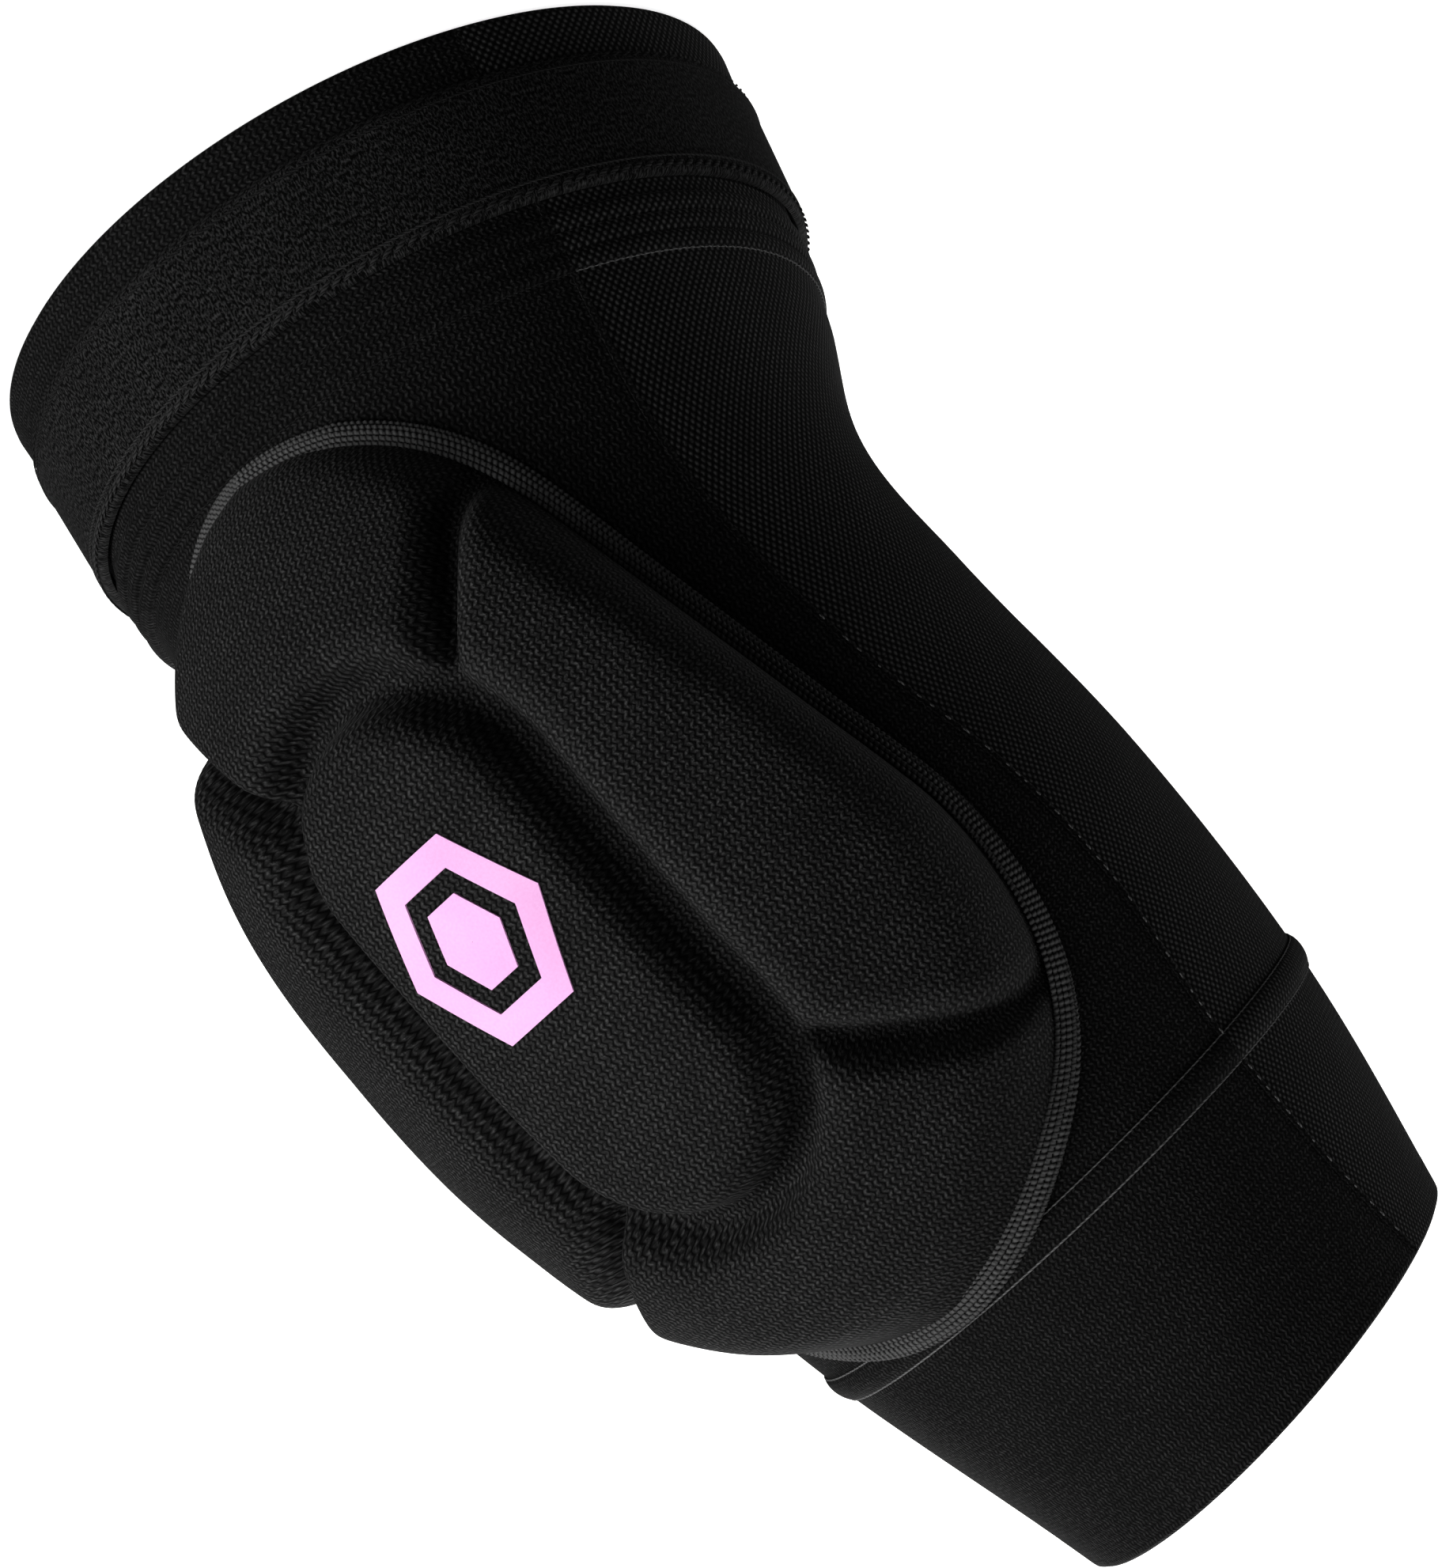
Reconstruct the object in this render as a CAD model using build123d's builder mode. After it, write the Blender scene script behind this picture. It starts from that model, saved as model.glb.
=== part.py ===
from build123d import *
import os
from math import cos, radians, sin, sqrt

# A knitted elbow sleeve with a moulded foam elbow pad, moulded slightly bent.
# The wide upper-arm rim lies on the plane z = 0 with its centre at the origin. The sleeve
# rises along +Z and bends towards +Y at the elbow, so the pad faces -Y and the elbow turns
# about X. Path length s runs along the sleeve's centreline from the upper-arm rim.

# Sleeve
SLEEVE_LENGTH = 196.0
REST_FLEX = 27.0
BEND_START = 42.0
BEND_END = 103.0
# Radius along the sleeve: (s, radius)
GIRTHS = ((0, 53.2), (38, 49.4), (62, 46.0), (88, 45.2), (123, 45.2), (156, 42.0), (196, 33.5))
WALL = 1.8
# How far the side seams lie from the middle of the sleeve, on the pad's side: (s, distance)
SEAM_SETS = ((0, 26.2), (36, 24.4), (62, 21.6), (88, 17.5), (108, 13.2), (130, 12.0), (155, 13.8),
             (175, 11.0), (196, 5.2))
SEAM_WIDTH = 2.4
SEAM_RISE = 0.7

# Bands round the sleeve
HEM_WIDTH = 8.0
HEM_BORE = 50.6
STRAP_START = 8.0
STRAP_WIDTH = 18.6
STRAP_BORE = 52.5
STRAP_THICKNESS = 1.5
STITCH_WIDTH = 1.6
STITCH_RISE = 0.4
STITCH_INSET = 0.8
UPPER_RING = (28.4, 36.6)
LOWER_RING = (156.0, 160.2)
RING_RISE = 1.1
LOWER_HEM_WIDTH = 6.0
LOWER_HEM_BORE = 31.6

# Elbow hinge, and the wedges left open so that the halves can turn
HINGE_SET = 8.0
HINGE_GAP = 0.6
PAD_WEDGE = 5.6
UPPER_CROOK_WEDGE = 20.0
FOREARM_CROOK_WEDGE = 35.0
PANEL_CLEARANCE = 0.7

# Pad: (s, half width, crown height above the centreline) of each section
PAD_SECTIONS = ((35, 36, 51.5), (46, 38, 57), (64, 41, 65.5), (90, 41.5, 64.5),
                (115, 41.5, 63), (138, 39.5, 59), (150, 37, 52), (160, 34, 44.5))
# Corners of one half of the pad's outline on the sleeve: (distance from the middle, s)
PAD_CORNERS = ((11, 39.4), (30, 57), (39.3, 103), (39.3, 120), (15, 153.6))
PAD_CORNER_RADIUS = 16.0
PAD_TILT = 22.0
BASE_THICKNESS = 2.5
COVER_THICKNESS = 1.2
PIPING_WIDTH = 4.0
PIPING_RISE = 4.4
DOME_WIDTH = 35.0
DOME_ENDS = (66.0, 126.0)
CHANNEL_WIDTH = 7.0
GROOVE_WIDTH = 4.0
GROOVE_LENGTH = 60.0
GROOVES = ((69.0, 58.0), (121.0, -55.0))
EMBLEM_SIZE = (20.0, 28.0)
EMBLEM_MIDDLE = 88.0
EMBLEM_RISE = 0.5

REACH = 90.0
BEND_RADIUS = (BEND_END - BEND_START) / radians(REST_FLEX)
HINGE_STATION = (BEND_START + BEND_END) / 2

os.makedirs("parts", exist_ok=True)


def between(pairs, s):
    """Value at s on straight lines through (s, value) pairs."""
    for (s0, v0), (s1, v1) in zip(pairs, pairs[1:]):
        if s <= s1:
            return v0 + (v1 - v0) * (s - s0) / (s1 - s0)
    return pairs[-1][1]


def turn(s):
    """How far the centreline has turned from +Z towards +Y at s, in radians."""
    return (min(max(s, BEND_START), BEND_END) - BEND_START) / BEND_RADIUS


def side_point(s, height=0.0):
    """(y, z) of the point at this height above the centreline, on the pad's side."""
    angle = turn(s)
    before, after = min(s - BEND_START, 0), max(s - BEND_END, 0)
    y = BEND_RADIUS * (1 - cos(angle)) + after * sin(angle) - height * cos(angle)
    z = BEND_START + BEND_RADIUS * sin(angle) + before + after * cos(angle) + height * sin(angle)
    return y, z


def station(s):
    """Plane across the sleeve at s, with local x along +X and local y towards the crook."""
    return Plane(origin=(0, *side_point(s)), x_dir=(1, 0, 0), z_dir=(0, sin(turn(s)), cos(turn(s))))


def sleeve_form(grow=0.0):
    """Solid of the sleeve's outer shape, grown by a thickness."""
    before = [s for s, radius in GIRTHS if s < BEND_START] + [BEND_START]
    after = [BEND_END] + [s for s, radius in GIRTHS if s > BEND_END]
    bend = [BEND_START + part * (BEND_END - BEND_START) / 4 for part in range(5)]
    with BuildPart() as form:
        for stretch in (*zip(before, before[1:]), bend, *zip(after, after[1:])):
            for s in stretch:
                with BuildSketch(station(s)):
                    Circle(between(GIRTHS, s) + grow)
            loft()
    return form.part


def slab(start, end):
    """Block across the whole sleeve, from the plane at one station as far as another is from it."""
    with BuildPart() as block:
        with BuildSketch(station(start)):
            Rectangle(2 * REACH, 2 * REACH)
        extrude(amount=end - start)
    return block.part


def side_block(points):
    """Block along X with the outline of these (y, z) points."""
    with BuildPart() as block:
        with BuildSketch(Plane.YZ):
            with BuildLine():
                Polyline(*points, close=True)
            make_face()
        extrude(amount=REACH, both=True)
    return block.part


def hinge_point(out=0.0, along=0.0):
    """(y, z) at a distance from the hinge axis: out to the pad's side, and along the sleeve."""
    angle = turn(HINGE_STATION)
    y, z = side_point(HINGE_STATION, HINGE_SET)
    return y - out * cos(angle) + along * sin(angle), z + out * sin(angle) + along * cos(angle)


def zone(way, crook_wedge):
    """Everything on one side of the elbow, less half of each open wedge. way is -1 or 1 along the sleeve."""
    far = 3 * REACH
    pad, crook = radians(PAD_WEDGE), radians(crook_wedge)
    return side_block((
        hinge_point(0, way * HINGE_GAP),
        hinge_point(far * cos(pad), way * (HINGE_GAP + far * sin(pad))),
        hinge_point(far * cos(pad), way * far * 2),
        hinge_point(-far * cos(crook), way * far * 2),
        hinge_point(-far * cos(crook), way * (HINGE_GAP + far * sin(crook))),
    ))


def seam_block(shift=0.0):
    """Block that holds the pad's side of the sleeve, up to the side seams."""
    seam = [side_point(s, height + shift) for s, height in SEAM_SETS]
    start, end = side_point(-40, SEAM_SETS[0][1] + shift), side_point(240, SEAM_SETS[-1][1] + shift)
    return side_block((start, *seam, end, side_point(240, 2 * REACH), side_point(-40, 2 * REACH)))


pad_plane = Plane(
    origin=(0, *side_point(BEND_START, between(GIRTHS, BEND_START))),
    x_dir=(1, 0, 0),
    z_dir=(0, -cos(radians(PAD_TILT)), sin(radians(PAD_TILT))),
)


def pad_place(x, s, rise=0.0):
    """Place on the pad's plane of the sleeve's surface point at x and s, or of one that much above it."""
    height = sqrt((between(GIRTHS, s) + rise) ** 2 - x**2)
    place = pad_plane.to_local_coords(Vector(x, *side_point(s, height)))
    return place.X, place.Y


def pad_prism(face):
    """A flat outline on the pad's plane, carried through the whole depth of the pad."""
    with BuildPart() as prism:
        extrude(face, amount=REACH / 2, both=True)
    return prism.part


def pad_outline(grow=0.0):
    """Face of the pad's outline: a long shape that widens to the forearm, with round corners."""
    right = [pad_place(x, s) for x, s in PAD_CORNERS]
    left = [(-x, y) for x, y in reversed(right)]
    with BuildSketch(pad_plane) as outline:
        with BuildLine():
            Polyline(*right, *left, close=True)
        make_face()
        fillet(outline.vertices(), PAD_CORNER_RADIUS)
        if grow:
            offset(amount=grow)
    return outline.sketch


crown_rise = PAD_SECTIONS[3][2] - between(GIRTHS, PAD_SECTIONS[3][0])
dome_start, dome_end = (pad_place(0, s, crown_rise)[1] for s in DOME_ENDS)


def dome_outline(grow=0.0):
    """Face of the dome's outline, a long slot."""
    with BuildSketch(pad_plane) as outline:
        with Locations((0, (dome_start + dome_end) / 2)):
            SlotOverall(dome_end - dome_start + 2 * grow, DOME_WIDTH + 2 * grow, rotation=90)
    return outline.sketch


def pad_envelope(grow=0.0):
    """Solid under the pad's crowned outer surface, without its channel and grooves."""
    with BuildPart() as envelope:
        for s, half_width, crown in PAD_SECTIONS:
            low = 0.55 * between(GIRTHS, s)
            section = station(s)
            with BuildSketch(Plane(section.origin - section.y_dir * low, section.x_dir, section.z_dir)):
                Ellipse(half_width + grow, crown - low + grow)
        loft()
    return envelope.part


def save(piece, name):
    """Label a finished piece and write its file."""
    piece.part.label = name
    export_step(piece.part, f"parts/{name}.step")


outer_form = sleeve_form()
inner_form = sleeve_form(-WALL)
base_form = sleeve_form(BASE_THICKNESS)
pad_side = seam_block()
upper_zone = zone(-1, UPPER_CROOK_WEDGE)
forearm_zone = zone(1, FOREARM_CROOK_WEDGE)

with BuildPart() as sleeve_wall:
    add(outer_form)
    add(inner_form, mode=Mode.SUBTRACT)


# ---- Upper-arm end: folded hem, elastic strap and its stitching, welt rings ----

with BuildPart() as top_hem_band:
    with BuildSketch(Plane.XY):
        Circle(GIRTHS[0][1])
        Circle(HEM_BORE, mode=Mode.SUBTRACT)
    extrude(amount=HEM_WIDTH)
save(top_hem_band, "top_hem_band")

with BuildPart() as elastic_strap:
    with BuildSketch(Plane.XY.offset(STRAP_START)):
        Circle(STRAP_BORE + STRAP_THICKNESS)
        Circle(STRAP_BORE, mode=Mode.SUBTRACT)
    extrude(amount=STRAP_WIDTH)
save(elastic_strap, "elastic_strap")

strap_face = STRAP_BORE + STRAP_THICKNESS
upper_row = STRAP_START + STITCH_INSET
lower_row = STRAP_START + STRAP_WIDTH - STITCH_INSET - STITCH_WIDTH
for name, height in (("strap_upper_stitching", upper_row), ("strap_lower_stitching", lower_row)):
    with BuildPart() as strap_stitching:
        with BuildSketch(Plane.XY.offset(height)):
            Circle(strap_face + STITCH_RISE)
            Circle(strap_face, mode=Mode.SUBTRACT)
        extrude(amount=STITCH_WIDTH)
    save(strap_stitching, name)

for name, (start, end) in (("upper_ring_band", UPPER_RING), ("lower_ring_band", LOWER_RING)):
    with BuildPart() as ring_band:
        add(sleeve_form(RING_RISE))
        add(outer_form, mode=Mode.SUBTRACT)
        add(slab(start, end), mode=Mode.INTERSECT)
    save(ring_band, name)


# ---- Knit panels: pad side and crook side, above and below the elbow ----

lower_hem_start = SLEEVE_LENGTH - LOWER_HEM_WIDTH
panels = (
    ("upper_outer_panel", Mode.INTERSECT, upper_zone, slab(HEM_WIDTH, SLEEVE_LENGTH)),
    ("upper_inner_panel", Mode.SUBTRACT, upper_zone, slab(HEM_WIDTH, SLEEVE_LENGTH)),
    ("forearm_outer_panel", Mode.INTERSECT, forearm_zone, slab(LOWER_RING[0], 0)),
    ("forearm_inner_panel", Mode.SUBTRACT, forearm_zone, slab(LOWER_RING[0], 0)),
    ("cuff_outer_panel", Mode.INTERSECT, forearm_zone, slab(LOWER_RING[0], lower_hem_start)),
    ("cuff_inner_panel", Mode.SUBTRACT, forearm_zone, slab(LOWER_RING[0], lower_hem_start)),
)
for name, side, half, stretch in panels:
    with BuildPart() as panel:
        add(sleeve_wall.part)
        add(half, mode=Mode.INTERSECT)
        add(stretch, mode=Mode.INTERSECT)
        add(pad_side, mode=side)
    save(panel, name)

crook_reach = 2 * REACH
upper_edge = radians(UPPER_CROOK_WEDGE - PANEL_CLEARANCE)
forearm_edge = radians(FOREARM_CROOK_WEDGE - PANEL_CLEARANCE)
crook_wedge = side_block((
    hinge_point(-2, 0),
    hinge_point(-2 - crook_reach * cos(upper_edge), -crook_reach * sin(upper_edge)),
    hinge_point(-2 - crook_reach, 0),
    hinge_point(-2 - crook_reach * cos(forearm_edge), crook_reach * sin(forearm_edge)),
))
with BuildPart() as elbow_crook_panel:
    add(sleeve_wall.part)
    add(crook_wedge, mode=Mode.INTERSECT)
save(elbow_crook_panel, "elbow_crook_panel")

with BuildPart() as lower_hem_band:
    add(outer_form)
    with BuildSketch(station(lower_hem_start)):
        Circle(LOWER_HEM_BORE)
    extrude(amount=LOWER_HEM_WIDTH, mode=Mode.SUBTRACT)
    add(slab(lower_hem_start, SLEEVE_LENGTH), mode=Mode.INTERSECT)
save(lower_hem_band, "lower_hem_band")


# ---- Side seams: a raised row of stitches along each side ----

with BuildPart() as seam_strip:
    add(sleeve_form(SEAM_RISE))
    add(outer_form, mode=Mode.SUBTRACT)
    add(seam_block(-SEAM_WIDTH / 2), mode=Mode.INTERSECT)
    add(seam_block(SEAM_WIDTH / 2), mode=Mode.SUBTRACT)

seam_stretches = (
    ("upper", upper_zone, slab(UPPER_RING[1], SLEEVE_LENGTH)),
    ("forearm", forearm_zone, slab(LOWER_RING[0], 0)),
    ("cuff", forearm_zone, slab(LOWER_RING[1], SLEEVE_LENGTH)),
)
for stretch, half, block in seam_stretches:
    for side, keep in (("left", Keep.BOTTOM), ("right", Keep.TOP)):
        with BuildPart() as side_seam:
            add(seam_strip.part)
            add(half, mode=Mode.INTERSECT)
            add(block, mode=Mode.INTERSECT)
            split(bisect_by=Plane.YZ, keep=keep)
        save(side_seam, f"{stretch}_{side}_seam")


# ---- Moulded pad: base, foam pieces, cover and piping ----

inside_piping = pad_prism(pad_outline(-PIPING_WIDTH / 2).face())
with BuildPart() as bolster_prisms:
    add(inside_piping)
    add(pad_prism(dome_outline(CHANNEL_WIDTH).face()), mode=Mode.SUBTRACT)
    with BuildSketch(pad_plane):
        for along, slope in GROOVES:
            for side in (-1, 1):
                with Locations((side * DOME_WIDTH / 2, pad_place(0, along, crown_rise)[1])):
                    Rectangle(GROOVE_LENGTH, GROOVE_WIDTH, rotation=-side * slope)
    extrude(amount=REACH / 2, both=True, mode=Mode.SUBTRACT)

left_prism, *end_prisms, right_prism = bolster_prisms.solids().sort_by(Axis.X)
upper_prism, lower_prism = ShapeList(end_prisms).sort_by(Axis.Z)
dome_prism = pad_prism(dome_outline().face())
cover_form = pad_envelope()
foam_form = pad_envelope(-COVER_THICKNESS)

foam_pieces = (
    ("upper_end_foam", upper_prism, upper_zone),
    ("dome_tip_foam", dome_prism, upper_zone),
    ("left_bolster_tip_foam", left_prism, upper_zone),
    ("right_bolster_tip_foam", right_prism, upper_zone),
    ("dome_foam", dome_prism, forearm_zone),
    ("left_bolster_foam", left_prism, forearm_zone),
    ("right_bolster_foam", right_prism, forearm_zone),
    ("lower_end_foam", lower_prism, forearm_zone),
)
for name, prism, half in foam_pieces:
    with BuildPart() as foam:
        add(foam_form)
        add(base_form, mode=Mode.SUBTRACT)
        add(prism, mode=Mode.INTERSECT)
        add(half, mode=Mode.INTERSECT)
    save(foam, name)

with BuildPart() as base_sheet:
    add(base_form)
    add(outer_form, mode=Mode.SUBTRACT)
    add(inside_piping, mode=Mode.INTERSECT)

with BuildPart() as cover_sheet:
    add(cover_form)
    add(foam_form, mode=Mode.SUBTRACT)
    add(base_form, mode=Mode.SUBTRACT)

with BuildPart() as bolster_cover_sheet:
    add(cover_sheet.part)
    add(bolster_prisms.part, mode=Mode.INTERSECT)

with BuildPart() as dome_cover_sheet:
    add(cover_sheet.part)
    add(dome_prism, mode=Mode.INTERSECT)

with BuildPart() as piping_cord:
    add(sleeve_form(PIPING_RISE))
    add(outer_form, mode=Mode.SUBTRACT)
    add(pad_prism(pad_outline(PIPING_WIDTH / 2).face()), mode=Mode.INTERSECT)
    add(inside_piping, mode=Mode.SUBTRACT)

pad_halves = (
    ("upper_pad_base", base_sheet, upper_zone),
    ("forearm_pad_base", base_sheet, forearm_zone),
    ("upper_bolster_cover", bolster_cover_sheet, upper_zone),
    ("forearm_bolster_cover", bolster_cover_sheet, forearm_zone),
    ("dome_cover", dome_cover_sheet, forearm_zone),
    ("upper_piping", piping_cord, upper_zone),
    ("forearm_piping", piping_cord, forearm_zone),
)
for name, sheet, half in pad_halves:
    with BuildPart() as pad_half:
        add(sheet.part)
        add(half, mode=Mode.INTERSECT)
    save(pad_half, name)

with BuildPart() as dome_emblem:
    with BuildSketch(pad_plane):
        with Locations((0, pad_place(0, EMBLEM_MIDDLE, crown_rise)[1])):
            RectangleRounded(*EMBLEM_SIZE, EMBLEM_SIZE[0] / 3)
    extrude(amount=REACH / 2)
    add(pad_envelope(EMBLEM_RISE), mode=Mode.INTERSECT)
    add(cover_form, mode=Mode.SUBTRACT)
save(dome_emblem, "dome_emblem")
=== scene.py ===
# %% [markdown]
# # A knitted elbow pad
# The real thing is a black knitted sleeve for the elbow with a moulded foam pad on its outer side. This
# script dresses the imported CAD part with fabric: each CAD solid stays as the hidden, hard stand-in, and
# each soft piece is drawn again here as cloth, thread or print. All sizes are in millimetres until a mesh
# is made.

import math

import bpy
import numpy as np
from mathutils import Matrix, Vector


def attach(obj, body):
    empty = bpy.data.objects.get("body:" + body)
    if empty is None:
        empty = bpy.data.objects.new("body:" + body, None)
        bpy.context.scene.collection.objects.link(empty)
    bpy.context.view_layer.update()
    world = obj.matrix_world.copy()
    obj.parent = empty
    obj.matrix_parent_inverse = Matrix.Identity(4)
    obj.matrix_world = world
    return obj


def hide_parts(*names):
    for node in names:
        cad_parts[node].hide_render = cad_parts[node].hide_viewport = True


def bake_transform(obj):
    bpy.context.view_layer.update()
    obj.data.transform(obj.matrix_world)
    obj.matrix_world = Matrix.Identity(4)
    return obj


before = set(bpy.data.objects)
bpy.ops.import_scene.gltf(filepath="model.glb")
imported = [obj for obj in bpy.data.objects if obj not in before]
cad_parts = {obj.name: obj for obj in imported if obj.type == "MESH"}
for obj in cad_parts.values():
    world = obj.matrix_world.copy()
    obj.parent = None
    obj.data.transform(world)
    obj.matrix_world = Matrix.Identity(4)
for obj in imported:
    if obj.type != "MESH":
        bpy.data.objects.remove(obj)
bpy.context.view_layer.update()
MM = 0.001

# %% [markdown]
# ## The sleeve's shape
# A sleeve is knitted as a tube, moulded slightly bent. Every piece lies on that tube, so one function
# places them all: it takes how far along the sleeve a point is, how far round it is from the middle of
# the pad, and how high it stands over the cloth.

# %% Driving sizes, in mm and degrees
SLEEVE_LENGTH = 196.0
REST_FLEX = 27.0
BEND_START = 42.0
BEND_END = 103.0
BEND_RADIUS = (BEND_END - BEND_START) / math.radians(REST_FLEX)
GIRTHS = ((0, 53.6), (38, 49.4), (62, 45.6), (88, 45.0), (123, 45.2), (156, 42.0), (196, 33.5))
SEAM_SETS = ((0, 26.2), (36, 24.4), (62, 21.6), (88, 17.5), (108, 13.2), (130, 12.0), (155, 13.8),
             (175, 11.0), (196, 5.2))
CLOTH = 1.3
# How far the crook is pinched in, where along the sleeve, and over what length
CROOK_PINCH = 4.8
CROOK_MIDDLE = 66.0
CROOK_SPREAD = 16.0
# The forearm rim is cut this far aslant. The cut acts past this place and is longest at this turn, in
# radians
RIM_SLANT = 3.4
SLANT_START = 164.0
SLANT_TURN = 0.35


# %% Places on the sleeve
def through(pairs, s):
    """Value at s on a smooth curve through (s, value) pairs."""
    known, values = np.array(pairs, float).T
    slopes = np.gradient(values, known)
    i = np.clip(np.searchsorted(known, s) - 1, 0, len(known) - 2)
    width = known[i + 1] - known[i]
    t = np.clip((s - known[i]) / width, 0, 1)
    rise = values[i] * (1 + 2 * t) * (1 - t) ** 2 + values[i + 1] * t * t * (3 - 2 * t)
    return rise + width * (slopes[i] * t * (1 - t) ** 2 + slopes[i + 1] * t * t * (t - 1))


def girth(s, around):
    """Radius of the cloth's outer face: pinched a little in the crook of the elbow."""
    behind = np.clip(-np.cos(around), 0, 1) ** 1.5
    return through(GIRTHS, s) - CROOK_PINCH * behind * np.exp(-(((s - CROOK_MIDDLE) / CROOK_SPREAD) ** 2))


def centre(s, height=0.0):
    """(y, z) of the point at this height above the sleeve's centreline, on the pad's side."""
    angle = (np.clip(s, BEND_START, BEND_END) - BEND_START) / BEND_RADIUS
    before = np.minimum(s - BEND_START, 0)
    after = np.maximum(s - BEND_END, 0)
    y = BEND_RADIUS * (1 - np.cos(angle)) + after * np.sin(angle) - height * np.cos(angle)
    z = BEND_START + BEND_RADIUS * np.sin(angle) + before + after * np.cos(angle) + height * np.sin(angle)
    return y, z


def on_sleeve(s, around, rise=0.0):
    """Points this much above the cloth. around is the angle from the middle of the pad, in radians."""
    s, around, rise = np.broadcast_arrays(np.asarray(s, float), around, rise)
    radius = girth(s, around) + rise
    share = np.clip((s - SLANT_START) / (SLEEVE_LENGTH - SLANT_START), 0, 1) ** 2
    y, z = centre(s + share * RIM_SLANT * np.cos(around - SLANT_TURN), radius * np.cos(around))
    return np.stack([radius * np.sin(around), y, z], -1)


def seam_angle(s):
    """How far round from the pad's middle the side seams lie."""
    return np.arccos(through(SEAM_SETS, s) / through(GIRTHS, s))


for station in (0, 60, 120, 190):
    print("at", station, "mm: radius", round(float(through(GIRTHS, station)), 1),
          "seam at", round(math.degrees(float(seam_angle(station)))), "degrees")


# %% [markdown]
# ## Cloth as meshes
# Fabric has two faces and a folded or cut edge, so each piece is made from patches of quads (a face, a
# back and the edges between them) that are welded into one closed skin. The weave is drawn from a map
# that is measured in millimetres along and round the sleeve, so that yarns keep their real size on every
# piece.

# %% Patches welded into a piece
def patch(points, weave=None, material=0):
    """A grid of points with the weave's millimetres at each, and the number of its material."""
    if weave is None:
        weave = np.zeros(points.shape[:2] + (2,))
    rows, columns = points.shape[:2]
    return points, weave, np.broadcast_to(material, (rows - 1, columns - 1))


def make_piece(name, patches, materials, weld=0.02, sharp=50):
    """Welds patches into one mesh object. Each quad's corners carry their own place in the weave."""
    corners, faces, weaves, numbers = [], [], [], []
    first = 0
    for points, weave, material in patches:
        rows, columns = points.shape[:2]
        index = np.arange(rows * columns).reshape(rows, columns)
        quads = np.stack([index[:-1, :-1], index[:-1, 1:], index[1:, 1:], index[1:, :-1]], -1).reshape(-1, 4)
        corners.append(points.reshape(-1, 3))
        faces.append(quads + first)
        weaves.append(weave.reshape(-1, 2)[quads.ravel()])
        numbers.append(np.asarray(material).ravel())
        first += rows * columns
    mesh = bpy.data.meshes.new(name)
    mesh.from_pydata(np.concatenate(corners) * MM, [], np.concatenate(faces).tolist())
    layer = mesh.uv_layers.new(name="Weave")
    layer.data.foreach_set("uv", np.concatenate(weaves).astype(np.float32).ravel())
    mesh.polygons.foreach_set("material_index", np.concatenate(numbers).astype(np.int32))
    weld_mesh(mesh, weld)
    mesh.shade_smooth()
    mesh.set_sharp_from_angle(angle=math.radians(sharp))
    piece = bpy.data.objects.new(name, mesh)
    bpy.context.scene.collection.objects.link(piece)
    for material in materials:
        mesh.materials.append(material)
    print(name, "has", len(mesh.polygons), "faces")
    return piece


# %% Welding
import bmesh


def weld_mesh(mesh, distance):
    """Joins points that lie together, drops what has no area and turns the faces outwards."""
    work = bmesh.new()
    work.from_mesh(mesh)
    bmesh.ops.remove_doubles(work, verts=work.verts, dist=distance * MM)
    bmesh.ops.dissolve_degenerate(work, edges=work.edges, dist=1e-6)
    bmesh.ops.recalc_face_normals(work, faces=work.faces)
    work.to_mesh(mesh)
    work.free()


def skin(face, back, weave, material=0, ring=False):
    """Patches of a closed sheet: its face, its back, the two ends and, unless it is a ring, the two sides."""
    edges = [(face[:1], back[:1], weave[:1]), (face[-1:], back[-1:], weave[-1:])]
    parts = [patch(face, weave, material), patch(back, weave, material)]
    numbers = np.broadcast_to(material, (face.shape[0] - 1, face.shape[1] - 1))
    for front, behind, place in edges:
        parts.append(patch(np.concatenate([front, behind]), np.concatenate([place, place]), numbers[:1]))
    for column in () if ring else (0, -1):
        side = np.stack([face[:, column], back[:, column]], 1)
        place = np.stack([weave[:, column]] * 2, 1)
        parts.append(patch(side, place, numbers[:, column:][:, :1]))
    return parts


# %% [markdown]
# ## Threads and cords
# Stitching, piping and drawn yarns are thin round threads that follow a path on the cloth. A thread is a
# small ring of points carried along its path, with the sleeve's own outward direction as its up, so it
# never twists.

# %% Carrying a round section along a path
def thread(path, outward, radius, sides=8, closed=True, flat=1.0):
    """Patches of a thread. radius may change along the path; flat squeezes the section against the cloth."""
    following = np.roll(path, -1, 0) - np.roll(path, 1, 0)
    if not closed:
        following[0] = path[1] - path[0]
        following[-1] = path[-1] - path[-2]
    along = following / np.linalg.norm(following, axis=1, keepdims=True)
    across = np.cross(along, outward)
    across /= np.linalg.norm(across, axis=1, keepdims=True)
    up = np.cross(across, along)
    turn = np.linspace(0, 2 * math.pi, sides + 1)[None, :, None]
    size = np.broadcast_to(radius, len(path))[:, None, None]
    section = across[:, None] * np.cos(turn) + flat * up[:, None] * np.sin(turn)
    points = path[:, None] + size * section
    length = np.concatenate([[0], np.cumsum(np.linalg.norm(np.diff(path, axis=0), axis=1))])
    if closed:
        points = np.concatenate([points, points[:1]])
        length = np.append(length, 2 * length[-1] - length[-2])
    round_it = np.broadcast_to(turn[0, :, 0] * np.mean(radius), points.shape[:2])
    weave = np.stack([round_it, np.broadcast_to(length[:, None], points.shape[:2])], -1)
    return patch(points, weave)


def outward_on(s, around):
    """Direction straight out of the cloth at these places."""
    step = on_sleeve(s, around, 1.0) - on_sleeve(s, around, 0.0)
    return step / np.linalg.norm(step, axis=-1, keepdims=True)


def bend_over_elbow(piece):
    """Bakes the piece's place into its mesh, and leaves it attached to no body."""
    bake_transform(piece)


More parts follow.
